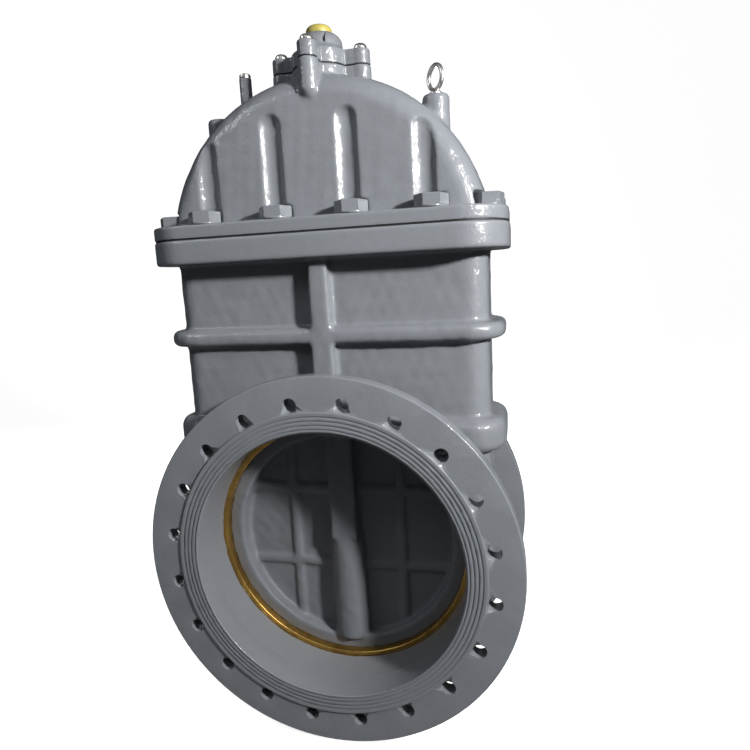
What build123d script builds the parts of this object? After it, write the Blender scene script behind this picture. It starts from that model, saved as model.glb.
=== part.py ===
from build123d import *
import math
import os

# DN 600 metal-seated wedge gate valve, non-rising stem, bolted bonnet.
# Frame: origin on the port axis at the middle of the body, +Y along the flow,
# +Z up the stem, front at -Y. Millimetres. Rest position: closed.

# ---- shared sizes -------------------------------------------------------
fit = 0.05                 # gap between parts that fit closely
half_length = 195.0        # half of the 390 face-to-face length
port_r = 300.0             # DN 600

# wedge chamber: half-width and half-depth, outside and inside
chamber_r, chamber_d = 350.0, 95.0
chamber_in_r, chamber_in_d = 326.0, 73.0
inner_edge_r = 24.0        # rounded inner edges of chamber and bonnet

# joint between body and bonnet
joint_z = 710.0            # top of the body flange
joint_w, joint_d, joint_corner_r = 790.0, 310.0, 100.0
gasket_t = 3.0
bonnet_z = joint_z + gasket_t
bonnet_flange_t = 28.0
pad_z = bonnet_z + bonnet_flange_t
bonnet_bolt_r = 18.0
bonnet_bolt_hole_r = bonnet_bolt_r + 1.5
bonnet_washer_t = 4.0
bonnet_bolts_xy = [
    (sign_x * x, sign_y * y)
    for x, y in ((82.0, 120.0), (245.0, 120.0), (351.0, 60.0))
    for sign_x in (-1, 1)
    for sign_y in (-1, 1)
]

# seats and facings
seat_angle = 3.0           # each wedge face leans by this much
seat_y = 50.0              # distance of a seat plane from the middle at z = 0
ring_in_r, ring_out_r, ring_w = 289.0, 311.0, 18.0
facing_in_r, facing_out_r, facing_t = 290.5, 313.0, 8.0

# stem, and the slot for its nut in the wedge lug
stem_r = 30.0
nut_slot_z, nut_slot_top, nut_slot_w = 322.0, 366.2, 94.0

# stem bearing at the top of the bonnet
cover_z = 1055.0           # top of the bearing pad on the bonnet
bush_r, bush_h = 38.0, 26.0
washer_bore_r = 52.0       # bore round the thrust washers
washer_t = 4.0
lower_washer_z, upper_washer_z = cover_z - 24, cover_z - 2

# top cover and its four lugs
cover_gap = 1.5            # thickness of the cover gasket
cover_t = 31.0
cover_bottom = cover_z + cover_gap
cover_face = cover_bottom + cover_t
lug_centre_r = 89.0
ear_r = 20.5               # lugs of the cover
cover_bolt_r = 10.0
cover_bolt_hole_r = cover_bolt_r + 1
lug_xy = [
    (lug_centre_r, 0.0),
    (0.0, lug_centre_r),
    (-lug_centre_r, 0.0),
    (0.0, -lug_centre_r),
]
hub_r, hub_top = 49.0, 1127.0
cover_bore_r = 25.1
o_ring_groove_r = 31.3
o_ring_grooves = [(1066, 1072.4), (1077, 1083.4)]   # bottom z, top z
wiper_groove_z, wiper_groove_top, wiper_groove_r = 1089, 1095, 30.0

# lifting eyes and vent
eye_x, eye_z, eye_shank_r = 246.0, 980.0, 10.0
vent_x, vent_top = -178.0, 1060.0
vent_hole_r, vent_bore_r = 13.5, 10.0


# ---- helpers ------------------------------------------------------------
def seat_plane(side, offset):
    """A seat plane, facing out of the wedge. side -1 is the front, +1 the back."""
    lean = math.radians(seat_angle)
    normal = Vector(0, side * math.cos(lean), -math.sin(lean))
    start = Vector(0, side * seat_y, 0) + normal * offset
    return Plane(origin=start, x_dir=(1, 0, 0), z_dir=normal)


def circles_of(edges, radius):
    """The circular edges of one radius."""
    return [e for e in edges.filter_by(GeomType.CIRCLE) if abs(e.radius - radius) < 0.1]


def rim_edges(faces, top):
    """Edges of the front and back faces, without those along the top."""
    ends = faces.sort_by(Axis.Y)
    return [e for e in ends[0].edges() + ends[-1].edges() if e.center().Z < top - 10]


def chamber_outline(radius, top):
    """Round at the bottom, straight-sided up to the top."""
    Circle(radius)
    with Locations((0, top / 2)):
        Rectangle(2 * radius, top)


def dome_outline(radius, centre_z, cut_height):
    """A circle cut off flat near the bonnet joint."""
    with Locations((0, centre_z)):
        Circle(radius)
    with Locations((0, bonnet_z - 200)):
        Rectangle(800, cut_height, mode=Mode.SUBTRACT)


def lugged_outline(centre_r, lug_r, arm_w):
    """A disc with four arms that end in round lugs."""
    Circle(centre_r)
    with Locations(*lug_xy):
        Circle(lug_r)
    Rectangle(2 * lug_centre_r, arm_w)
    Rectangle(arm_w, 2 * lug_centre_r)


def mirrored(part):
    """The same part on the other side of the stem, front to back."""
    with BuildPart() as copy:
        mirror(part, about=Plane.XZ)
    return copy.part


# ---- body casting -------------------------------------------------------
def chamber_core():
    """The space inside the wedge chamber."""
    core_top = 720
    with BuildPart() as core:
        with BuildSketch(Plane.XZ):
            chamber_outline(chamber_in_r, core_top)
        extrude(amount=chamber_in_d, both=True)
        fillet(rim_edges(core.faces(), core_top), inner_edge_r)
    return core.part


def front_seat_land():
    """The ring of metal inside the chamber behind the front seat ring."""
    with BuildPart() as land:
        with BuildSketch(Plane.XZ.offset(30)):
            Circle(chamber_in_r + 3)
            Circle(port_r, mode=Mode.SUBTRACT)
        extrude(amount=60)
        split(bisect_by=seat_plane(-1, 3.0), keep=Keep.TOP)
    return land.part


def body():
    case_top, case_edge_r = 700, 46
    joint_flange_t = 52.0
    bands = [(475, 36, 14), (235, 74, 22)]      # bottom z, height, edge radius
    band_out_x, band_out_y, band_corner_r = 33, 29, 78
    rib_y = chamber_d + band_out_y
    flange_r = 420.0
    flange_t = 41.0                             # with raised face
    face_r, face_h = 345.0, 5.0                 # raised face
    face_y = -half_length + face_h
    flange_back_y = -half_length + flange_t
    neck_r = 322
    foot_x, foot_z = 108.0, -424.0
    rail_x, rail_w, rail_d = 319.0, 26, 28
    rail_spans = ((-110.0, 148.0), (182.0, joint_z - 5))
    bolt_circle_r, hole_r, hole_count = 725.0 / 2, 15.5, 20
    overshoot = 5

    core = chamber_core()
    land = front_seat_land()
    with BuildPart() as casting:
        # wedge chamber: a flat-sided case, round at the bottom
        with BuildSketch(Plane.XZ):
            chamber_outline(chamber_r, case_top)
        extrude(amount=chamber_d, both=True)
        fillet(rim_edges(casting.faces(), case_top), case_edge_r)
        # flange that carries the bonnet
        with BuildSketch(Plane.XY.offset(joint_z - joint_flange_t)):
            RectangleRounded(joint_w, joint_d, joint_corner_r)
        joint_flange = extrude(amount=joint_flange_t)
        fillet(joint_flange.edges().group_by(Axis.Z)[0], 5)
        # stiffening bands around the chamber
        for band_z, band_h, edge_r in bands:
            with BuildSketch(Plane.XY.offset(band_z)):
                RectangleRounded(
                    2 * (chamber_r + band_out_x), 2 * (chamber_d + band_out_y), band_corner_r
                )
            band = extrude(amount=band_h)
            levels = band.edges().group_by(Axis.Z)
            fillet(levels[0] + levels[-1], edge_r)
        # upright rib, front and back, wider at the bottom
        with BuildSketch(Plane.XZ.offset(-rib_y)):
            with BuildLine():
                Polyline((-20, 670), (20, 670), (28, 300), (-28, 300), close=True)
            make_face()
        extrude(amount=2 * rib_y)
        # necks and end flanges: radius, y
        with BuildSketch(Plane.XY):
            with BuildLine():
                Polyline(
                    (0, -half_length),
                    (face_r - 1, -half_length),
                    (face_r, -half_length + 1),
                    (face_r, face_y),
                    (flange_r - 3, face_y),
                    (flange_r, face_y + 3),
                    (flange_r, flange_back_y - 2),
                    (flange_r - 2, flange_back_y),
                    (neck_r + 14, flange_back_y),
                    (neck_r + 4, flange_back_y + 5),
                    (neck_r, flange_back_y + 14),
                    (neck_r, 0),
                    (0, 0),
                    close=True,
                )
            make_face()
            mirror(about=Plane.XZ)
        revolve(axis=Axis.Y)
        # feet under the chamber, between the end flanges
        for x in (-foot_x, foot_x):
            with BuildSketch(Plane.XY.offset(foot_z)):
                with Locations((x, 0)):
                    RectangleRounded(104, 230, 16)
            extrude(amount=26)
            with BuildSketch(Plane.XY.offset(foot_z + 24)):
                with Locations((x, 0)):
                    Rectangle(58, 170)
            extrude(amount=130)
        # inside
        add(core, mode=Mode.SUBTRACT)
        add(land)
        mirror(land, about=Plane.XZ)
        # guide rails for the wedge, broken at the height of a flange bolt axis
        for side in (-1, 1):
            for bottom, top in rail_spans:
                with BuildSketch(Plane.XY.offset(bottom)):
                    with Locations((side * rail_x, 0)):
                        Rectangle(rail_w, rail_d)
                extrude(amount=top - bottom)
        # port and seat ring pockets
        with BuildSketch(Plane.XZ.offset(-half_length - overshoot)):
            Circle(port_r)
        extrude(amount=2 * (half_length + overshoot), mode=Mode.SUBTRACT)
        for side in (-1, 1):
            with BuildSketch(seat_plane(side, -1.0)):
                Circle(ring_out_r + fit)
                Circle(port_r - 1, mode=Mode.SUBTRACT)
            extrude(amount=ring_w + 1.15, mode=Mode.SUBTRACT)
        # gasket grooves turned in both raised faces
        with BuildSketch(Plane.XY):
            for groove_r in (308, 317, 326, 335):
                with Locations((groove_r, -half_length), (groove_r, half_length)):
                    Rectangle(3.4, 3.0)
        revolve(axis=Axis.Y, mode=Mode.SUBTRACT)
        # end flange bolt holes
        for side in (-1, 1):
            flange_face = Plane(
                origin=(0, side * (half_length - face_h), 0),
                x_dir=(1, 0, 0),
                z_dir=(0, side, 0),
            )
            with Locations(flange_face):
                with PolarLocations(bolt_circle_r, hole_count, start_angle=9):
                    Hole(hole_r, depth=flange_t + 12)
        # tapped holes for the bonnet bolts
        with BuildSketch(Plane.XY.offset(joint_z)):
            with Locations(*bonnet_bolts_xy):
                Circle(bonnet_bolt_r + fit)
        extrude(amount=-joint_flange_t + 4, mode=Mode.SUBTRACT)
    return casting.part


# ---- seat rings in the body ---------------------------------------------
def front_seat_ring():
    with BuildPart() as ring:
        with BuildSketch(seat_plane(-1, 0.1)):
            Circle(ring_out_r)
            Circle(ring_in_r, mode=Mode.SUBTRACT)
        extrude(amount=ring_w)
        chamfer(circles_of(ring.edges(), ring_in_r), 1.2)
    return ring.part


def rear_seat_ring():
    return mirrored(front_seat_ring())


# ---- wedge --------------------------------------------------------------
def wedge():
    wedge_r = 318.0
    pocket_r = 258
    web_y, floor_y = 7.0, 15.0      # half-thickness of the web, and of its ribs
    rib_w, rib_length = 21, 540
    # column sections: width, depth, corner radius
    upper_column, lower_column = (66, 100, 32.9), (84, 104, 41.9)
    lower_column_z, lower_column_top = -262, -20
    lug_z, lug_top = 280, 376.0
    groove_start = 5                # facing grooves are cut from here, outside the wedge
    side_groove_h = 240

    with BuildPart() as disc:
        # tapered disc
        with BuildSketch(Plane.XZ):
            Circle(wedge_r)
        extrude(amount=90, both=True)
        split(bisect_by=seat_plane(-1, -0.5), keep=Keep.BOTTOM)
        split(bisect_by=seat_plane(1, -0.5), keep=Keep.BOTTOM)
        # deep pockets inside the rim, down to a web with crossed ribs
        for side in (-1, 1):
            with BuildSketch(Plane.XZ.offset(-side * floor_y)):
                Circle(pocket_r)
            extrude(amount=-side * 80, mode=Mode.SUBTRACT)
            with BuildSketch(Plane.XZ.offset(-side * web_y)):
                Circle(pocket_r)
                with Locations((0, 113), (0, -78)):
                    Rectangle(rib_length, rib_w, mode=Mode.SUBTRACT)
                with Locations((-133, 0), (133, 0)):
                    Rectangle(rib_w, rib_length, mode=Mode.SUBTRACT)
            extrude(amount=-side * 20, mode=Mode.SUBTRACT)
        # column round the stem tunnel, slim above the middle and fuller below
        with BuildSketch(Plane.XY):
            Circle(39)
            Rectangle(64, 100)
        extrude(amount=265)
        with BuildSketch(Plane.XY.offset(lower_column_top)):
            RectangleRounded(*lower_column)
        with BuildSketch(Plane.XY.offset(34)):
            RectangleRounded(*upper_column)
        loft()
        with BuildSketch(Plane.XY.offset(lower_column_z)):
            RectangleRounded(*lower_column)
        extrude(amount=lower_column_top - lower_column_z)
        # lug that holds the stem nut
        with BuildSketch(Plane.XY.offset(lug_z)):
            RectangleRounded(128, 88, 14)
        extrude(amount=lug_top - lug_z)
        with BuildSketch(Plane.XZ.offset(-60)):
            with Locations((0, (nut_slot_z + nut_slot_top) / 2)):
                Rectangle(nut_slot_w, nut_slot_top - nut_slot_z)
        extrude(amount=120, mode=Mode.SUBTRACT)
        # stem tunnel
        with BuildSketch(Plane.XY.offset(-289)):
            Circle(stem_r + 2)
        extrude(amount=700, mode=Mode.SUBTRACT)
        # facing ring grooves
        for side in (-1, 1):
            with BuildSketch(seat_plane(side, groove_start)):
                Circle(facing_out_r + fit)
                Circle(facing_in_r - fit, mode=Mode.SUBTRACT)
            extrude(amount=-(groove_start + facing_t + fit), mode=Mode.SUBTRACT)
        # side grooves that run on the body rails
        for side in (-1, 1):
            with BuildSketch(Plane.XY.offset(-side_groove_h / 2)):
                with Locations((side * 325.0, 0)):
                    Rectangle(52, 40)
            extrude(amount=side_groove_h, mode=Mode.SUBTRACT)
    return disc.part


def front_facing_ring():
    with BuildPart() as ring:
        with BuildSketch(seat_plane(-1, 0)):
            Circle(facing_out_r)
            Circle(facing_in_r, mode=Mode.SUBTRACT)
        extrude(amount=-facing_t)
    return ring.part


def rear_facing_ring():
    return mirrored(front_facing_ring())


def guide_shoes():
    """Channel-shaped linings of the wedge's side grooves."""
    shoe_h = 176
    with BuildPart() as shoes:
        for side in (-1, 1):
            with BuildSketch(Plane.XY.offset(-shoe_h / 2)):
                with Locations((side * 305.2, 0)):
                    Rectangle(12.2, 39.8)
                with Locations((side * 308.2, 0)):
                    Rectangle(10.4, 29.0, mode=Mode.SUBTRACT)
            extrude(amount=shoe_h)
    return shoes.part


def stem_nut():
    bore_r = stem_r + fit
    with BuildPart() as nut:
        with BuildSketch(Plane.XY.offset(nut_slot_z + fit)):
            RectangleRounded(nut_slot_w - 0.2, 86, 6)
            Circle(bore_r, mode=Mode.SUBTRACT)
        extrude(amount=44.05)
        chamfer(circles_of(nut.edges(), bore_r), 2)
    return nut.part


# ---- stem ---------------------------------------------------------------
def stem():
    stem_bottom, stem_top = 333, 1134
    collar_r, journal_r, drive_r = 46, 25, 22.5
    collar_z = lower_washer_z + washer_t + fit
    collar_top = upper_washer_z - fit
    with BuildPart() as shaft:
        # radius, z
        with BuildSketch(Plane.XZ):
            with BuildLine():
                Polyline(
                    (0, stem_bottom),
                    (stem_r - 4, stem_bottom),
                    (stem_r, stem_bottom + 4),
                    (stem_r, collar_z),
                    (collar_r, collar_z),
                    (collar_r, collar_top),
                    (journal_r, collar_top),
                    (journal_r, 1099),
                    (drive_r, 1102),
                    (drive_r, stem_top - 2),
                    (drive_r - 2, stem_top),
                    (0, stem_top),
                    close=True,
                )
            make_face()
        revolve(axis=Axis.Z)
        # square drive end
        with BuildSketch(Plane.XY.offset(1104)):
            Circle(24)
            Rectangle(32, 32, mode=Mode.SUBTRACT)
        extrude(amount=40, mode=Mode.SUBTRACT)
    return shaft.part


# ---- bonnet -------------------------------------------------------------
bearing_pad_z = 1000       # bottom of the bearing pad


def bonnet_core():
    """The space inside the arched case, flat under the bearing pad."""
    core_r, core_z, core_d = 308.0, 704.0, 71.0
    with BuildPart() as core:
        with BuildSketch(Plane.XZ):
            dome_outline(core_r, core_z, 396)
        extrude(amount=core_d, both=True)
        fillet(circles_of(core.edges(), core_r), inner_edge_r)
        with BuildSketch(Plane.XY.offset(bearing_pad_z)):
            Circle(70)
        extrude(amount=60, mode=Mode.SUBTRACT)
    return core.part


def bonnet():
    dome_r, dome_z, dome_d, dome_edge_r = 358.0, 674.0, 98.0, 48.0
    lug_r = 21.5
    lug_foot_z = 992
    eye_boss_z = 880
    groove_r, groove_y = 29.0, 115.0
    # x and top z of the half-round grooves
    grooves_xz = [(-240.0, 896.0), (-90.0, 933.0), (73.0, 933.0), (231.0, 905.0)]

    core = bonnet_core()
    with BuildPart() as casting:
        # arched case
        with BuildSketch(Plane.XZ):
            dome_outline(dome_r, dome_z, 400)
        extrude(amount=dome_d, both=True)
        fillet(circles_of(casting.edges(), dome_r), dome_edge_r)
        # flange
        with BuildSketch(Plane.XY.offset(bonnet_z)):
            RectangleRounded(joint_w - 4, joint_d, joint_corner_r - 2)
        plate = extrude(amount=bonnet_flange_t)
        fillet(plate.edges().group_by(Axis.Z)[-1], 5)
        # bearing pad with four lugs
        with BuildSketch(Plane.XY.offset(bearing_pad_z)):
            lugged_outline(62, lug_r, 39)
        extrude(amount=cover_z - bearing_pad_z)
        # front and back lugs reach lower and taper in
        for y in (-lug_centre_r, lug_centre_r):
            with BuildSketch(Plane.XY.offset(lug_foot_z)):
                with Locations((0, y)):
                    Circle(lug_r)
            extrude(amount=10)
            with BuildSketch(Plane.XY.offset(lug_foot_z)):
                with Locations((0, y)):
                    Circle(lug_r)
            with BuildSketch(Plane.XY.offset(lug_foot_z - 12)):
                with Locations((0, y)):
                    Circle(15)
            loft()
        # bosses for the lifting eyes
        for x in (-eye_x, eye_x):
            with BuildSketch(Plane.XY.offset(eye_boss_z)):
                with Locations((x, 0)):
                    Circle(28.5)
            eye_boss = extrude(amount=eye_z - eye_boss_z)
            chamfer(eye_boss.edges().group_by(Axis.Z)[-1], 4)
        # boss for the vent pipe
        with BuildSketch(Plane.XY.offset(950)):
            with Locations((vent_x, 0)):
                Circle(21)
        extrude(amount=44)
        # pockets round the bolt heads and half-round grooves above them
        for x, y in bonnet_bolts_xy:
            with BuildSketch(Plane.XY.offset(pad_z)):
                with Locations((x, y)):
                    Circle(37.5 if abs(y) > 100 else 36)
            extrude(amount=31, mode=Mode.SUBTRACT)
        for side in (-1, 1):
            for x, z in grooves_xz:
                with BuildSketch(Plane.XY.offset(pad_z)):
                    with Locations((x, side * groove_y)):
                        Circle(groove_r)
                extrude(amount=z - pad_z, mode=Mode.SUBTRACT)
                with Locations((x, side * groove_y, z)):
                    Sphere(groove_r, mode=Mode.SUBTRACT)
        add(core, mode=Mode.SUBTRACT)
        # bolt holes in the flange
        with BuildSketch(Plane.XY.offset(bonnet_z)):
            with Locations(*bonnet_bolts_xy):
                Circle(bonnet_bolt_hole_r)
        extrude(amount=bonnet_flange_t + 1, mode=Mode.SUBTRACT)
        # stem bearing bore
        with BuildSketch(Plane.XY.offset(cover_z - 65)):
            Circle(bush_r + fit)
        extrude(amount=45, mode=Mode.SUBTRACT)
        with BuildSketch(Plane.XY.offset(lower_washer_z)):
            Circle(washer_bore_r)
        extrude(amount=30, mode=Mode.SUBTRACT)
        # tapped holes: cover bolts, eyes, vent
        with BuildSketch(Plane.XY.offset(cover_z)):
            with Locations(*lug_xy):
                Circle(cover_bolt_r + fit)
        extrude(amount=-29, mode=Mode.SUBTRACT)
        with BuildSketch(Plane.XY.offset(eye_z)):
            with Locations((-eye_x, 0), (eye_x, 0)):
                Circle(eye_shank_r + fit)
        extrude(amount=-38, mode=Mode.SUBTRACT)
        with BuildSketch(Plane.XY.offset(930)):
            with Locations((vent_x, 0)):
                Circle(vent_hole_r)
        extrude(amount=90, mode=Mode.SUBTRACT)
    return casting.part


# ---- bonnet joint -------------------------------------------------------
def bonnet_gasket():
    with BuildPart() as gasket:
        with BuildSketch(Plane.XY.offset(joint_z)):
            RectangleRounded(joint_w - 7, joint_d - 5, joint_corner_r - 3)
            RectangleRounded(
                2 * chamber_in_r + 2, 2 * chamber_in_d + 2, inner_edge_r, mode=Mode.SUBTRACT
            )
            with Locations(*bonnet_bolts_xy):
                Circle(bonnet_bolt_hole_r, mode=Mode.SUBTRACT)
        extrude(amount=gasket_t)
    return gasket.part


def bonnet_washers():
    with BuildPart() as washers:
        with BuildSketch(Plane.XY.offset(pad_z)):
            with Locations(*bonnet_bolts_xy):
                Circle(34)
                Circle(bonnet_bolt_r + 0.5, mode=Mode.SUBTRACT)
        extrude(amount=bonnet_washer_t)
    return washers.part


def bonnet_bolts():
    head_z = pad_z + bonnet_washer_t
    head_turns = (9.0, 14.0, 11.0)      # degrees, taken in turn
    with BuildPart() as bolts:
        with BuildSketch(Plane.XY.offset(head_z)):
            for i, (x, y) in enumerate(bonnet_bolts_xy):
                with Locations((x, y)):
                    RegularPolygon(30.0, 6, major_radius=False, rotation=head_turns[i % 3])
        extrude(amount=22.5)
        chamfer(bolts.edges().group_by(Axis.Z)[-1], 1.8)
        with BuildSketch(Plane.XY.offset(head_z)):
            with Locations(*bonnet_bolts_xy):
                Circle(bonnet_bolt_r)
        extrude(amount=-80)
    return bolts.part


# ---- stem bearing -------------------------------------------------------
def stem_bush():
    with BuildPart() as bush:
        with BuildSketch(Plane.XY.offset(lower_washer_z - bush_h)):
            Circle(bush_r)
            Circle(stem_r + fit, mode=Mode.SUBTRACT)
        extrude(amount=bush_h)
    return bush.part


def thrust_washers():
    """One washer below the stem collar and one above it."""
    with BuildPart() as washers:
        for z in (lower_washer_z, upper_washer_z):
            with BuildSketch(Plane.XY.offset(z)):
                Circle(washer_bore_r - 0.1)
                Circle(stem_r + 1, mode=Mode.SUBTRACT)
            extrude(amount=washer_t)
    return washers.part


# ---- top cover ----------------------------------------------------------
def top_cover():
    cover_r = 62
    recess_top = upper_washer_z + washer_t + fit
    mouth_z, mouth_r = 1103, 25.5       # wider top of the stem bore
    groove_start_r = 20                 # seal grooves are cut from inside the bore
    seal_grooves = [(z0, z1, o_ring_groove_r) for z0, z1 in o_ring_grooves]
    seal_grooves.append((wiper_groove_z, wiper_groove_top, wiper_groove_r))

    with BuildPart() as cover:
        with BuildSketch(Plane.XY.offset(cover_bottom)):
            lugged_outline(cover_r, ear_r, 37)
        base_plate = extrude(amount=cover_t)
        fillet(base_plate.edges().group_by(Axis.Z)[-1], 3)
        # hub with a rounded shoulder
        with BuildSketch(Plane.XZ):
            with BuildLine():
                base = Line((0, cover_face - 10), (cover_r, cover_face - 10))
                skirt = Line(base @ 1, (54, cover_face + 4))
                neck = Line(skirt @ 1, (hub_r, cover_face + 8))
                wall = Line(neck @ 1, (hub_r, hub_top - 26))
                shoulder = RadiusArc(wall @ 1, (hub_r - 20.5, hub_top), -25)
                top = Line(shoulder @ 1, (0, hub_top))
                Line(top @ 1, base @ 0)
            make_face()
        revolve(axis=Axis.Z)
        # thrust washer seat, stem bore and seal grooves
        with BuildSketch(Plane.XZ):
            with BuildLine():
                Polyline(
                    (0, cover_bottom - 1),
                    (washer_bore_r, cover_bottom - 1),
                    (washer_bore_r, recess_top),
                    (cover_bore_r, recess_top),
                    (cover_bore_r, mouth_z),
                    (mouth_r, mouth_z),
                    (mouth_r, hub_top + 1),
                    (0, hub_top + 1),
                    close=True,
                )
            make_face()
            for z0, z1, groove_r in seal_grooves:
                with Locations(((groove_r + groove_start_r) / 2, (z0 + z1) / 2)):
                    Rectangle(groove_r - groove_start_r, z1 - z0)
        revolve(axis=Axis.Z, mode=Mode.SUBTRACT)
        # cover bolt holes
        with BuildSketch(Plane.XY.offset(cover_bottom - 1)):
            with Locations(*lug_xy):
                Circle(cover_bolt_hole_r)
        extrude(amount=cover_t + 2, mode=Mode.SUBTRACT)
        # witness slot in the front of the hub
        with BuildSketch(Plane.XY.offset(1099)):
            with Locations((22, -45)):
                Rectangle(4.5, 24)
        extrude(amount=40, mode=Mode.SUBTRACT)
    return cover.part


def cover_gasket():
    with BuildPart() as gasket:
        with BuildSketch(Plane.XY.offset(cover_z)):
            lugged_outline(60.5, ear_r - 1.0, 34)
            Circle(washer_bore_r + 0.2, mode=Mode.SUBTRACT)
            with Locations(*lug_xy):
                Circle(cover_bolt_hole_r, mode=Mode.SUBTRACT)
        extrude(amount=cover_gap)
    return gasket.part


def cover_bolts():
    with BuildPart() as bolts:
        for x, y in lug_xy:
            with BuildSketch(Plane.XY.offset(cover_face)):
                with Locations((x, y)):
                    Circle(14)
            head = extrude(amount=12)
            fillet(head.edges().group_by(Axis.Z)[-1], 9)
            with BuildSketch(Plane.XY.offset(cover_face)):
                with Locations((x, y)):
                    Circle(cover_bolt_r)
            extrude(amount=-(cover_t + cover_gap + 26))
    return bolts.part


def stem_o_rings():
    centre_r = (cover_bore_r + o_ring_groove_r) / 2
    with BuildPart() as rings:
        with BuildSketch(Plane.XZ):
            with Locations(*[(centre_r, (z0 + z1) / 2) for z0, z1 in o_ring_grooves]):
                Circle(3.05)
        revolve(axis=Axis.Z)
    return rings.part


def dust_wiper():
    inner_r, outer_r = 25.06, wiper_groove_r - 0.1
    bottom, top = wiper_groove_z + 0.1, wiper_groove_top - 0.1
    with BuildPart() as wiper:
        with BuildSketch(Plane.XZ):
            with BuildLine():
                Polyline(
                    (inner_r, bottom),
                    (outer_r, bottom),
                    (outer_r, top),
                    (26.2, top),
                    (inner_r, 1093),
                    close=True,
                )
            make_face()
        revolve(axis=Axis.Z)
    return wiper.part


def stem_cap():
    """Domed cap over the stem end, with a skirt down into the hub."""
    with BuildPart() as cap:
        # radius, z
        with BuildSketch(Plane.XZ):
            with BuildLine():
                Polyline(
                    (0, 1137.5),
                    (23.4, 1137.5),
                    (23.4, 1106),
                    (25.4, 1106),
                    (25.4, hub_top),
                    (27.8, hub_top),
                    (27.8, hub_top + 8.5),
                    (26.4, hub_top + 12.0),
                    (22.5, hub_top + 15.6),
                    (16.0, hub_top + 18.4),
                    (8.5, hub_top + 20.0),
                    (0, hub_top + 20.5),
                    close=True,
                )
            make_face()
        revolve(axis=Axis.Z)
    return cap.part


# ---- lifting eye and vent -----------------------------------------------
def lifting_eye():
    """Eye bolt in the +X boss: shank, collar, cone and a ring turned about Z."""
    collar_h, cone_h = 4, 7
    with BuildPart() as eye:
        with BuildSketch(Plane.XY.offset(eye_z)):
            with Locations((eye_x, 0)):
                Circle(eye_shank_r)
        extrude(amount=-35)
        with BuildSketch(Plane.XY.offset(eye_z)):
            with Locations((eye_x, 0)):
                Circle(14)
        extrude(amount=collar_h)
        with BuildSketch(Plane.XY.offset(eye_z + collar_h)):
            with Locations((eye_x, 0)):
                Circle(13)
        with BuildSketch(Plane.XY.offset(eye_z + collar_h + cone_h)):
            with Locations((eye_x, 0)):
                Circle(7)
        loft()
        with Locations(Plane(origin=(eye_x, 0, eye_z + 34), z_dir=(0.743, 0.669, 0))):
            Torus(24, 4.6)
    return eye.part


def vent_pipe():
    pipe_z = 962
    with BuildPart() as pipe:
        with BuildSketch(Plane.XY.offset(pipe_z)):
            with Locations((vent_x, 0)):
                Circle(vent_hole_r - fit)
                Circle(vent_bore_r, mode=Mode.SUBTRACT)
        extrude(amount=vent_top - pipe_z)
    return pipe.part


def vent_plug():
    with BuildPart() as plug:
        with BuildSketch(Plane.XY.offset(vent_top)):
            with Locations((vent_x, 0)):
                Circle(12.6)
        head = extrude(amount=10)
        chamfer(head.edges().group_by(Axis.Z)[-1], 2.5)
        with BuildSketch(Plane.XY.offset(vent_top)):
            with Locations((vent_x, 0)):
                Circle(vent_bore_r - fit)
        extrude(amount=-18)
    return plug.part


# ---- export: each piece is named after its function ---------------------
pieces = [
    body, front_seat_ring, rear_seat_ring,
    wedge, front_facing_ring, rear_facing_ring, guide_shoes, stem_nut, stem,
    bonnet, bonnet_gasket, bonnet_washers, bonnet_bolts,
    stem_bush, thrust_washers,
    top_cover, cover_gasket, cover_bolts, stem_o_rings, dust_wiper, stem_cap,
    lifting_eye, vent_pipe, vent_plug,
]

os.makedirs("parts", exist_ok=True)
for piece in pieces:
    solid = piece()
    solid.label = piece.__name__
    export_step(solid, f"parts/{piece.__name__}.step")
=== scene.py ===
"""Visual model of a cast-iron wedge gate valve, in metres.

The stem runs up +Z, the pipe runs along Y with an end flange at each side, and X is
the width of the case. The four castings are re-meshed and softened from their CAD
shapes; the other pieces keep their CAD meshes, some with rounded edges.
"""
import math

import bmesh
import bpy
import numpy as np
from mathutils import Matrix, Vector


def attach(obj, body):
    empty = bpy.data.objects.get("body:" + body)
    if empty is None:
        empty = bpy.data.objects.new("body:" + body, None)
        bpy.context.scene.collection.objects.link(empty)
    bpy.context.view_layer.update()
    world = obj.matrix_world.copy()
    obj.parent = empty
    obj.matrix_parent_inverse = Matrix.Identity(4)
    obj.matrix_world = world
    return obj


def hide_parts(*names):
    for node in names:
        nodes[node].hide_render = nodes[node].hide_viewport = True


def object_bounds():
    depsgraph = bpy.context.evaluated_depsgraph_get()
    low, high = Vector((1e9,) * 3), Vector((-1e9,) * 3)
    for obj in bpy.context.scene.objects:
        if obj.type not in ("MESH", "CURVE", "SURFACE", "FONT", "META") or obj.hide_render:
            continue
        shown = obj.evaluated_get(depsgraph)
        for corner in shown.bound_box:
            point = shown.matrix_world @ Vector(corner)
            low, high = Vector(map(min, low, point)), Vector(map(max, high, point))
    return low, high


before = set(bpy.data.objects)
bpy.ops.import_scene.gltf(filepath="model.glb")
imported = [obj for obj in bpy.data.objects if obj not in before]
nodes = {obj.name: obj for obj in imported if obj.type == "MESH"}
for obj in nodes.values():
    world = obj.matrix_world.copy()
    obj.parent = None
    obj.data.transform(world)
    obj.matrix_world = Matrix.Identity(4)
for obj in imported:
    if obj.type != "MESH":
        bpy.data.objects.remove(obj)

scene = bpy.context.scene
cad_low, cad_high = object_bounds()

MM = 0.001
WELD_GAP = 3e-6         # CAD face seams closer than this are joined


# ---------------------------------------------------------------- mesh helpers
def add_object(name, me):
    obj = bpy.data.objects.new(name, me)
    scene.collection.objects.link(obj)
    return obj


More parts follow.
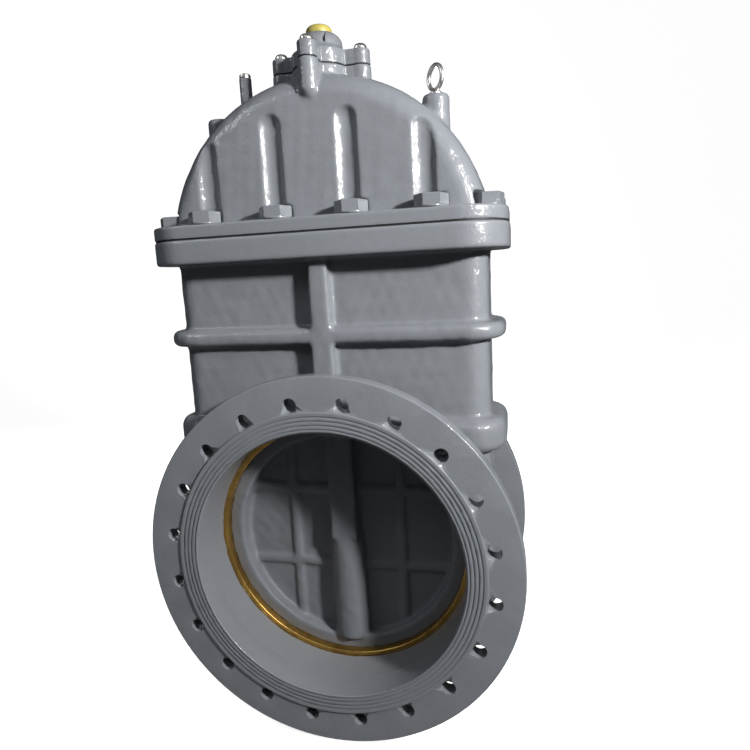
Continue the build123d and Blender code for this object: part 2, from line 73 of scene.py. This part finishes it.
def welded(node):
    """A copy of a CAD node's mesh with its face seams joined, so it's a closed shell."""
    me = nodes[node].data.copy()
    me.name = node + "_weld"
    bm = bmesh.new()
    bm.from_mesh(me)
    bmesh.ops.remove_doubles(bm, verts=bm.verts, dist=WELD_GAP)
    bmesh.ops.dissolve_degenerate(bm, edges=bm.edges, dist=1e-7)
    bm.to_mesh(me)
    bm.free()
    return me


def box_mesh(low, high):
    bm = bmesh.new()
    bmesh.ops.create_cube(bm, size=1.0)
    for vert in bm.verts:
        vert.co = Vector(
            [low[i] + (vert.co[i] + 0.5) * (high[i] - low[i]) for i in range(3)])
    me = bpy.data.meshes.new("blk")
    bm.to_mesh(me)
    bm.free()
    return me


def modified(me, kind, **settings):
    """A new mesh: me with one modifier applied."""
    obj = add_object("tmp_a", me)
    modifier = obj.modifiers.new("tmp", kind)
    for key, value in settings.items():
        setattr(modifier, key, value)
    bpy.context.view_layer.update()
    depsgraph = bpy.context.evaluated_depsgraph_get()
    result = bpy.data.meshes.new_from_object(obj.evaluated_get(depsgraph), depsgraph=depsgraph)
    bpy.data.objects.remove(obj)
    return result


def cut(me, other, operation):
    """Boolean of two closed meshes."""
    cutter = add_object("tmp_b", other)
    result = modified(me, "BOOLEAN", operation=operation, solver="MANIFOLD", object=cutter)
    bpy.data.objects.remove(cutter)
    return result


def voxelised(me, size):
    return modified(me, "REMESH", mode="VOXEL", voxel_size=size, adaptivity=0.0)


def coords(me):
    co = np.empty(len(me.vertices) * 3)
    me.vertices.foreach_get("co", co)
    return co.reshape(-1, 3)


def store(me, co):
    me.vertices.foreach_set("co", co.astype(np.float32).ravel())
    me.update()


def ramp(x, low, high):
    """0 below low, 1 above high, straight between."""
    return np.clip((x - low) / (high - low), 0.0, 1.0)


def relax(me, passes, weight):
    """Rounds edges and corners the way sand casting and thick enamel do."""
    pull = 0.6          # share of the way to the neighbours' mean in each pass
    co = coords(me)
    count = len(co)
    ends = np.empty(len(me.edges) * 2, np.int64)
    me.edges.foreach_get("vertices", ends)
    first, second = ends[0::2], ends[1::2]
    degree = np.maximum(np.bincount(ends, minlength=count), 1).astype(float)
    share = (weight(co) * pull)[:, None]
    for _ in range(passes):
        mean = np.empty_like(co)
        for axis in range(3):
            c = co[:, axis]
            mean[:, axis] = (np.bincount(first, c[second], count)
                             + np.bincount(second, c[first], count)) / degree
        co += share * (mean - co)
    store(me, co)


def waves(co, seed, shortest, longest, count):
    """Smooth pseudo-random field of sine waves, about -1..1."""
    rng = np.random.default_rng(seed)
    total = np.zeros(len(co))
    for _ in range(count):
        direction = rng.normal(size=3)
        direction /= np.linalg.norm(direction)
        length = shortest * (longest / shortest) ** rng.random()
        phase = rng.random() * 6.283
        total += np.sin(co @ direction * (2 * math.pi / length) + phase)
    return total / math.sqrt(count / 2)


def ripple(me, seed, amount, weight):
    """The slight unevenness of a cast wall."""
    co = coords(me)
    normals = np.empty(len(me.vertices) * 3, np.float32)
    me.vertex_normals.foreach_get("vector", normals)
    normals = normals.reshape(-1, 3).astype(float)
    field = waves(co, seed, shortest=0.022, longest=0.11, count=40)
    height = field * amount * weight(co)
    store(me, co + normals * height[:, None])


# ---------------------------------------------------------------- node helpers
class Nodes:
    """The emptied node tree of a material or world. Inputs take a value or a socket."""

    def __init__(self, owner):
        owner.use_nodes = True
        self.tree = owner.node_tree
        self.tree.nodes.clear()

    def feed(self, node, inputs):
        for key, value in inputs.items():
            socket = node.inputs[key]
            if isinstance(value, bpy.types.NodeSocket):
                self.tree.links.new(value, socket)
            else:
                socket.default_value = (*value, 1.0) if socket.type == "RGBA" else value

    def add(self, kind, inputs=None, **settings):
        node = self.tree.nodes.new(kind)
        for key, value in settings.items():
            setattr(node, key, value)
        self.feed(node, inputs or {})
        return node


class Surface(Nodes):
    """A material around one Principled shader; its methods return output sockets."""

    def __init__(self, name):
        self.mat = bpy.data.materials.new(name)
        super().__init__(self.mat)
        self.out = self.add("ShaderNodeOutputMaterial")
        self.bsdf = self.add("ShaderNodeBsdfPrincipled")
        self.feed(self.out, {"Surface": self.bsdf.outputs["BSDF"]})
        self.place = self.add("ShaderNodeTexCoord").outputs["Object"]

    def noise(self, scale, detail, rough, stretch=None):
        place = self.place
        if stretch:
            mapping = self.add("ShaderNodeMapping", {"Vector": place, "Scale": stretch})
            place = mapping.outputs["Vector"]
        return self.add("ShaderNodeTexNoise", {
            "Vector": place, "Scale": scale, "Detail": detail, "Roughness": rough,
        }).outputs["Fac"]

    def steps(self, source, *stops):
        """Colour ramp; each stop is (position, grey level or colour)."""
        node = self.add("ShaderNodeValToRGB", {"Fac": source})
        elements = node.color_ramp.elements
        while len(elements) < len(stops):
            elements.new(0.5)
        for element, (position, c) in zip(elements, stops):
            element.position = position
            element.color = (*c, 1.0) if isinstance(c, tuple) else (c, c, c, 1.0)
        return node.outputs["Color"]

    def mottle(self, *stops, **noise):
        return self.steps(self.noise(**noise), *stops)

    def maths(self, operation, a, b):
        return self.add("ShaderNodeMath", {0: a, 1: b}, operation=operation).outputs[0]

    def mix(self, share, a, b, blend="MULTIPLY"):
        # sockets 6, 7 and output 2 are the colour ones
        node = self.add("ShaderNodeMix", data_type="RGBA", blend_type=blend)
        self.feed(node, {0: share, 6: a, 7: b})
        return node.outputs[2]

    def bevel(self, radius):
        return self.add("ShaderNodeBevel", {"Radius": radius}, samples=5).outputs[0]

    def bump(self, normal, strength, distance, **noise):
        """Noise relief laid over normal, or over the bare surface if that is None."""
        node = self.add("ShaderNodeBump", {
            "Strength": strength, "Distance": distance, "Height": self.noise(**noise)})
        if normal is not None:
            self.feed(node, {"Normal": normal})
        return node.outputs[0]


def scaled(colour, factor):
    return tuple(min(1, c * factor) for c in colour)


# ---------------------------------------------------------------- materials
def enamel(name, base, lumps, peel, gloss, coat, bevel=None):
    """Thick glossy enamel sprayed over cast iron.

    lumps and peel are relief strengths, gloss the middle roughness.
    """
    t = Surface(name)
    tone = t.mottle((0.30, scaled(base, 0.95)), (0.52, base), (0.76, scaled(base, 1.05)),
                    scale=5.0, detail=4.0, rough=0.6)
    speck = t.mottle((0.33, 0.97), (0.45, 1.0), (0.75, 1.015),
                     scale=90.0, detail=5.0, rough=0.65)
    colour = t.mix(1.0, tone, speck)
    # paint thins and lightens on edges; the darkening in corners and creases is painted shade
    geometry = t.add("ShaderNodeNewGeometry")
    thin_edge_crease_shade = t.steps(geometry.outputs["Pointiness"],
                   (0.44, 0.78), (0.497, 1.0), (0.52, 1.0), (0.60, 1.2))
    colour = t.mix(0.5, colour, thin_edge_crease_shade)
    # dust settled on faces that look up
    normal = t.add("ShaderNodeSeparateXYZ", {"Vector": geometry.outputs["Normal"]})
    upward = t.steps(normal.outputs["Z"], (0.72, 0.0), (0.98, 1.0))
    patches = t.mottle((0.35, 0.3), (0.75, 1.0), scale=14.0, detail=6.0, rough=0.7)
    dust = t.maths("MULTIPLY", upward, patches)
    dust = t.maths("MULTIPLY", dust, 0.10)
    colour = t.mix(dust, colour, (0.46, 0.45, 0.43), blend="MIX")
    rough = t.mottle((0.3, gloss - 0.05), (0.55, gloss), (0.8, gloss + 0.08),
                     scale=38.0, detail=4.0, rough=0.6)
    # cast lumps, sand grain and orange peel, each laid over the one before
    relief = t.bevel(bevel) if bevel else None
    relief = t.bump(relief, strength=lumps, distance=0.0014, scale=38.0, detail=2.0, rough=0.5)
    relief = t.bump(relief, strength=peel, distance=0.0009, scale=120.0, detail=2.5, rough=0.5)
    relief = t.bump(relief, strength=peel * 0.7, distance=0.00030,
                    scale=360.0, detail=2.0, rough=0.5)
    # the clear top layer carries fine spray droplets that break up the shine
    droplets = t.bump(relief, strength=0.9, distance=0.0020, scale=135.0, detail=2.0, rough=0.5)
    t.feed(t.bsdf, {
        "Base Color": colour,
        "Roughness": t.maths("ADD", rough, dust),
        "IOR": 1.52,
        "Specular IOR Level": 0.22,
        "Coat Weight": coat,
        "Coat Roughness": 0.13,
        "Normal": relief,
        "Coat Normal": droplets,
    })
    return t.mat


def metal(name, base, rough, grain, turned=(0, 0, 1), tint=None, patina=0.3):
    """Machined or plated metal; turned is the direction across the tool marks."""
    t = Surface(name)
    tone = t.mottle((0.30, tint or scaled(base, 0.62)), (0.50, base), (0.78, scaled(base, 1.12)),
                    scale=16.0, detail=5.0, rough=0.62)
    spots = t.mottle((0.28, 0.55), (0.42, 1.0), scale=120.0, detail=6.0, rough=0.7)
    relief = t.bump(t.bevel(0.0006), strength=grain, distance=0.00012,
                    scale=1.0, detail=2.0, rough=0.5,
                    stretch=tuple(4.0 + 900.0 * k for k in turned))
    relief = t.bump(relief, strength=0.18, distance=0.00010, scale=320.0, detail=3.0, rough=0.6)
    t.feed(t.bsdf, {
        "Base Color": t.mix(patina, tone, spots),
        "Metallic": 1.0,
        "Roughness": t.mottle((0.3, rough - 0.1), (0.55, rough), (0.8, rough + 0.18),
                              scale=60.0, detail=4.0, rough=0.6),
        "Normal": relief,
    })
    return t.mat


def plastic(name, base, rough, grain=0.2, scuff=0.25):
    t = Surface(name)
    tone = t.mottle((0.3, scaled(base, 0.8)), (0.55, base), (0.8, scaled(base, 1.12)),
                    scale=22.0, detail=5.0, rough=0.6)
    dirt = t.mottle((0.34, 0.6), (0.48, 1.0), scale=130.0, detail=6.0, rough=0.7)
    t.feed(t.bsdf, {
        "Base Color": t.mix(scuff, tone, dirt),
        "Roughness": t.mottle((0.3, rough - 0.1), (0.8, rough + 0.15),
                              scale=70.0, detail=4.0, rough=0.6),
        "Normal": t.bump(t.bevel(0.0008), strength=grain, distance=0.00015,
                         scale=500.0, detail=3.0, rough=0.6),
    })
    return t.mat


GREY = (0.175, 0.188, 0.207)
mat_cast = enamel("cast_enamel", GREY, lumps=0.15, peel=0.5, gloss=0.50, coat=0.80)
mat_cover = enamel("cover_enamel", scaled(GREY, 0.95),
                   lumps=0.2, peel=0.5, gloss=0.48, coat=0.60, bevel=0.0012)
mat_bolt = enamel("bolt_enamel", scaled(GREY, 0.85),
                  lumps=0.3, peel=0.35, gloss=0.24, coat=0.55, bevel=0.0014)
# the wedge enamel is the body grey darkened to 0.8, painted shade for the dim inside of the bore
mat_wedge_shaded = enamel("wedge_enamel", scaled(GREY, 0.8), lumps=0.3, peel=0.25, gloss=0.50, coat=0.06)
mat_brass = metal("ring_brass", (0.60, 0.37, 0.10), rough=0.36, grain=0.35,
                  turned=(0, 1, 0), tint=(0.42, 0.24, 0.06))
mat_bronze = metal("bush_bronze", (0.62, 0.36, 0.14), rough=0.38, grain=0.4)
mat_stem = metal("stem_steel", (0.58, 0.58, 0.59), rough=0.24, grain=0.3)
mat_zinc = metal("zinc_plate", (0.80, 0.79, 0.76), rough=0.36, grain=0.2,
                 tint=(0.60, 0.59, 0.55), patina=0.2)
mat_yellow = plastic("cap_plastic", (0.40, 0.335, 0.08), rough=0.42, scuff=0.35)
mat_shoe = plastic("shoe_plastic", (0.74, 0.73, 0.68), rough=0.5)
mat_rubber = plastic("gasket_rubber", (0.012, 0.012, 0.013), rough=0.6, grain=0.4)

for names, mat in (
    (("bonnet_gasket", "cover_gasket", "stem_o_rings", "dust_wiper"), mat_rubber),
    (("front_seat_ring", "rear_seat_ring", "front_facing_ring", "rear_facing_ring"), mat_brass),
    (("stem_bush", "thrust_washers", "stem_nut"), mat_bronze),
    (("stem",), mat_stem),
    (("cover_bolts", "lifting_eye", "vent_plug"), mat_zinc),
    (("bonnet_bolts", "bonnet_washers"), mat_bolt),
    (("vent_pipe",), mat_cover),
    (("stem_cap",), mat_yellow),
    (("guide_shoes",), mat_shoe),
    (("wedge",), mat_wedge_shaded),
    (("body", "bonnet", "top_cover"), mat_cast),
):
    for name in names:
        piece = nodes[name]
        if not piece.material_slots:
            piece.data.materials.append(mat)
        for slot in piece.material_slots:
            slot.material = mat


# ---------------------------------------------------------------- castings
# The *_soft functions give each vertex its share of softening: 0 keeps the CAD shape.
# Names ending in _FADE are the two places between which such a share fades.
def add_casting(name, me, node, mat, sharp_angle, part="valve"):
    """Shades the mesh and puts it in place of its CAD node."""
    me.shade_smooth()
    me.set_sharp_from_angle(angle=math.radians(sharp_angle))
    obj = add_object(name, me)
    me.materials.clear()
    me.materials.append(mat)
    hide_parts(node)
    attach(obj, part)
    modifier = obj.modifiers.new("normals", "WEIGHTED_NORMAL")
    modifier.weight = 90
    modifier.keep_sharp = True


END_START = 137.0 * MM      # the end flanges keep their CAD shape from here out in |y|
END_STOP = 220.0 * MM
REMESH_STOP = 166 * MM      # the case is re-meshed up to here, past END_START
END_OVERLAP = 0.1 * MM      # case left beyond END_START for the join
CASE_WALL_FADE = (0.338, 0.342)     # |x| above the pipe axis, radius below it
SIDE_WALL_FADE = (0.084, 0.088)     # |y|
SIDE_RADIUS_FADE = (0.311, 0.316)   # radius about the pipe axis
TOP_FLANGE_FADE = (0.648, 0.656)
TOP_FACE_FADE = (0.7085, 0.7095)
FOOT_FADE = (-0.414, -0.404)
END_RIPPLE_FADE = (0.126, 0.134)    # |y|


def end_box(side, start, half_width, top):
    """A box around the end flange on the -Y (-1) or +Y (1) side."""
    low_y, high_y = sorted((side * start, side * END_STOP))
    return box_mesh((-half_width, low_y, -half_width), (half_width, high_y, top))


def without_ends(me, start, half_width, top):
    for side in (-1, 1):
        me = cut(me, end_box(side, start, half_width, top), "DIFFERENCE")
    return me


def body_soft(co):
    x, y, z = np.abs(co[:, 0]), np.abs(co[:, 1]), co[:, 2]
    radius = np.hypot(co[:, 0], z)
    rim = ramp(np.where(z > 0, x, radius), *CASE_WALL_FADE)
    sides = ramp(y, *SIDE_WALL_FADE) * ramp(radius, *SIDE_RADIUS_FADE)
    flange = 1.0 - 0.75 * ramp(z, *TOP_FLANGE_FADE)
    ends = (1 - ramp(z, *TOP_FACE_FADE)) * ramp(z, *FOOT_FADE)
    return np.maximum(rim, sides) * flange * ends


def body_ripple(co):
    near_end = ramp(np.abs(co[:, 1]), *END_RIPPLE_FADE) * (co[:, 2] < 0.6)
    return body_soft(co) * (1 - near_end)


def build_body():
    """Softened case joined to end flanges of exact CAD shape."""
    cad = welded("body")
    flanges = None
    for side in (-1, 1):
        flange = cut(cad.copy(), end_box(side, END_START, 0.5, 0.55), "INTERSECT")
        flanges = flange if flanges is None else cut(flanges, flange, "UNION")
    case = without_ends(cad.copy(), REMESH_STOP, half_width=0.5, top=0.55)
    case = voxelised(case, 3.4 * MM)
    relax(case, passes=11, weight=body_soft)
    ripple(case, seed=11, amount=0.3 * MM, weight=body_ripple)
    case = without_ends(case, END_START + END_OVERLAP, half_width=0.52, top=0.57)
    me = cut(case, flanges, "UNION")
    add_casting("body_casting", me, "body", mat_cast, sharp_angle=38)


BONNET_BASE_FADE = (0.7135, 0.7145)
BONNET_FLANGE_FADE = (0.741, 0.748)
BONNET_TOP_FADE = (0.985, 0.995)
TAPPED_PAIR_X, TAPPED_PAIR_RADIUS = 0.246, 0.0165       # one hole at each side in X
TAPPED_SINGLE_X, TAPPED_SINGLE_RADIUS = -0.178, 0.0185
TAPPED_FLOOR = 0.925                                    # the holes are above this z


def bonnet_soft(co):
    x, y, z = co.T
    tapped = ((np.hypot(np.abs(x) - TAPPED_PAIR_X, y) < TAPPED_PAIR_RADIUS)
              | (np.hypot(x - TAPPED_SINGLE_X, y) < TAPPED_SINGLE_RADIUS))
    share = ((0.22 + 0.78 * ramp(z, *BONNET_FLANGE_FADE)) * ramp(z, *BONNET_BASE_FADE)
             * (1 - 0.8 * ramp(z, *BONNET_TOP_FADE)))
    return np.where(tapped & (z > TAPPED_FLOOR), 0.0, share)


def bonnet_ripple(co):
    z = co[:, 2]
    return ramp(z, 0.742, 0.76) * (1 - ramp(z, 0.98, 1.0))


def build_bonnet():
    me = voxelised(welded("bonnet"), 2.8 * MM)
    relax(me, passes=8, weight=bonnet_soft)
    ripple(me, seed=23, amount=0.3 * MM, weight=bonnet_ripple)
    add_casting("bonnet_casting", me, "bonnet", mat_cast, sharp_angle=50)


COVER_BASE_FADE = (1.0575, 1.0585)
COVER_HOLE_PLACE, COVER_HOLE_RADIUS = 0.089, 0.0135     # four holes, on the X and Y axes
COVER_CENTRE_RADIUS = 0.034


def cover_soft(co):
    x, y = np.abs(co[:, 0]), np.abs(co[:, 1])
    holes = ((np.hypot(x - COVER_HOLE_PLACE, y) < COVER_HOLE_RADIUS)
             | (np.hypot(x, y - COVER_HOLE_PLACE) < COVER_HOLE_RADIUS))
    share = ramp(co[:, 2], *COVER_BASE_FADE) * (np.hypot(x, y) > COVER_CENTRE_RADIUS)
    return np.where(holes, 0.0, share)


def cover_ripple(co):
    return ramp(co[:, 2], 1.064, 1.07) * ramp(np.hypot(co[:, 0], co[:, 1]), 0.04, 0.046)


def build_cover():
    me = voxelised(welded("top_cover"), 1.3 * MM)
    relax(me, passes=7, weight=cover_soft)
    ripple(me, seed=31, amount=0.22 * MM, weight=cover_ripple)
    add_casting("cover_casting", me, "top_cover", mat_cover, sharp_angle=50)


WEDGE_RIM_FADE = (0.272, 0.284)     # radius about the pipe axis
WEDGE_CORE_RADIUS = 0.0345          # about the stem axis


def wedge_soft(co):
    """Ribs, pockets and column soften; sealing lands and slots stay true."""
    x, y, z = co.T
    share = 1 - ramp(np.hypot(x, z), *WEDGE_RIM_FADE)
    return np.where(np.hypot(x, y) < WEDGE_CORE_RADIUS, 0.0, share)


def build_wedge():
    me = voxelised(welded("wedge"), 2.6 * MM)
    relax(me, passes=20, weight=wedge_soft)
    ripple(me, seed=47, amount=0.4 * MM, weight=wedge_soft)
    add_casting("wedge_casting", me, "wedge", mat_wedge_shaded, sharp_angle=40,
                part="wedge")


build_body()
build_bonnet()
build_cover()
build_wedge()

# ---------------------------------------------------------------- rounded small parts
EDGE_WIDTHS = {     # bevel width in mm
    "bonnet_bolts": 1.6, "bonnet_washers": 0.8, "vent_plug": 0.5, "stem_cap": 0.7,
    "vent_pipe": 0.5, "guide_shoes": 1.0, "stem_nut": 1.0,
}
for name, width in EDGE_WIDTHS.items():
    modifiers = nodes[name].modifiers
    modifiers.new("weld", "WELD").merge_threshold = WELD_GAP
    bevel = modifiers.new("round", "BEVEL")
    bevel.width = width * MM
    bevel.segments = 2
    bevel.limit_method = "ANGLE"
    bevel.angle_limit = math.radians(35)
    bevel.use_clamp_overlap = True


# ---------------------------------------------------------------- stage
FLOOR_HALF_WIDTH = 9.0
FLOOR_START_Y, FLOOR_END_Y = -6.0, 2.6
SWEEP_RADIUS, SWEEP_STEPS = 1.6, 12     # curve from the floor up into the wall
WALL_TOP = 7.0


def floor_material():
    """Glowing white to the camera, dim grey to all other rays."""
    t = Surface("floor_paint")
    t.feed(t.bsdf, {
        "Base Color": t.mottle((0.3, (0.86, 0.86, 0.865)), (0.7, (0.88, 0.88, 0.88)),
                               scale=1.4, detail=3.0, rough=0.5),
        "Roughness": 0.7,
        "Emission Color": (1.0, 1.0, 1.0),
        "Emission Strength": 0.9,
    })
    dim = t.add("ShaderNodeBsdfDiffuse", {"Color": (0.22, 0.22, 0.225)})
    rays = t.add("ShaderNodeLightPath")
    mixed = t.add("ShaderNodeMixShader", {
        0: rays.outputs["Is Camera Ray"], 1: dim.outputs[0], 2: t.bsdf.outputs[0]})
    t.feed(t.out, {"Surface": mixed.outputs[0]})
    return t.mat


def build_floor():
    profile = [(FLOOR_START_Y, 0.0), (FLOOR_END_Y, 0.0)]    # y, height
    for i in range(1, SWEEP_STEPS + 1):
        angle = math.radians(90 * i / SWEEP_STEPS)
        profile.append((FLOOR_END_Y + SWEEP_RADIUS * math.sin(angle),
                        SWEEP_RADIUS * (1 - math.cos(angle))))
    profile.append((FLOOR_END_Y + SWEEP_RADIUS, WALL_TOP))
    bm = bmesh.new()
    left, right = [[bm.verts.new((x, y, cad_low.z + z)) for y, z in profile]
                   for x in (-FLOOR_HALF_WIDTH, FLOOR_HALF_WIDTH)]
    for i in range(len(profile) - 1):
        bm.faces.new((left[i], right[i], right[i + 1], left[i + 1]))
    me = bpy.data.meshes.new("floor")
    bm.to_mesh(me)
    bm.free()
    me.shade_smooth()
    floor = add_object("floor", me)
    me.materials.append(floor_material())


def build_world():
    """White to the camera; a faint glow, brighter toward one side, lights the valve."""
    world = bpy.data.worlds.new("studio")
    scene.world = world
    t = Nodes(world)
    place = t.add("ShaderNodeTexCoord")
    facing = t.add("ShaderNodeVectorMath", operation="DOT_PRODUCT", inputs={
        0: place.outputs["Generated"], 1: (0.45, -0.35, 0.82)})
    strength = t.add("ShaderNodeMapRange", {
        "Value": facing.outputs["Value"],
        "From Min": -0.6, "From Max": 1.0, "To Min": 0.02, "To Max": 0.09})
    glow = t.add("ShaderNodeBackground", {
        "Color": (0.93, 0.96, 1.0), "Strength": strength.outputs["Result"]})
    white = t.add("ShaderNodeBackground", {"Color": (1, 1, 1), "Strength": 1.0})
    rays = t.add("ShaderNodeLightPath")
    mixed = t.add("ShaderNodeMixShader", {
        0: rays.outputs["Is Camera Ray"], 1: glow.outputs[0], 2: white.outputs[0]})
    t.add("ShaderNodeOutputWorld", {"Surface": mixed.outputs[0]})


def area(name, place, target, size, power, colour, spread=180):
    """A square or oblong lamp at place, facing target; spread in degrees."""
    lamp = bpy.data.lights.new(name, "AREA")
    lamp.shape = "RECTANGLE"
    lamp.size, lamp.size_y = size
    lamp.energy = power
    lamp.color = colour
    lamp.spread = math.radians(spread)
    obj = add_object(name, lamp)
    obj.location = place
    aim = Vector(target) - Vector(place)
    obj.rotation_euler = aim.to_track_quat("-Z", "Y").to_euler()
    return obj


build_floor()
build_world()
COOL = (0.96, 0.98, 1.0)
area("key", place=(2.08, -1.31, 1.42), target=(0, -0.1, 0.8), size=(0.22, 0.22),
     power=45, colour=(1.0, 0.985, 0.965), spread=105)
area("fill", place=(-2.03, -1.55, 2.45), target=(0, 0, 0.1), size=(0.8, 0.8),
     power=17, colour=(0.93, 0.96, 1.0))
back = area("back", place=(-0.7, 3.0, 0.9), target=(0, 0.1, 0.35), size=(1.3, 1.3),
            power=62, colour=COOL)
back.visible_camera = False
area("top", place=(0.2, -2.6, 3.2), target=(0, 0, 0.6), size=(1.8, 1.4), power=7, colour=COOL)


# ---------------------------------------------------------------- camera
CAMERA_PLACE = Vector((0.40907, -1.33532, 0.61973))
CAMERA_RIGHT = Vector((0.97243, 0.22751, -0.05111))
CAMERA_FORWARD = Vector((-0.23292, 0.95814, -0.16647))


def build_camera():
    right = CAMERA_RIGHT.normalized()
    forward = (CAMERA_FORWARD - right * CAMERA_FORWARD.dot(right)).normalized()
    axes = Matrix((right, right.cross(forward), -forward)).transposed()
    data = bpy.data.cameras.new("camera")
    data.sensor_fit = "HORIZONTAL"
    data.sensor_width = 36.0
    data.lens = 28.8888
    data.clip_start = 0.05
    data.clip_end = 60.0
    camera = add_object("camera", data)
    camera.matrix_world = Matrix.Translation(CAMERA_PLACE) @ axes.to_4x4()
    scene.camera = camera


build_camera()
scene.view_settings.view_transform = "Standard"

bpy.context.view_layer.update()
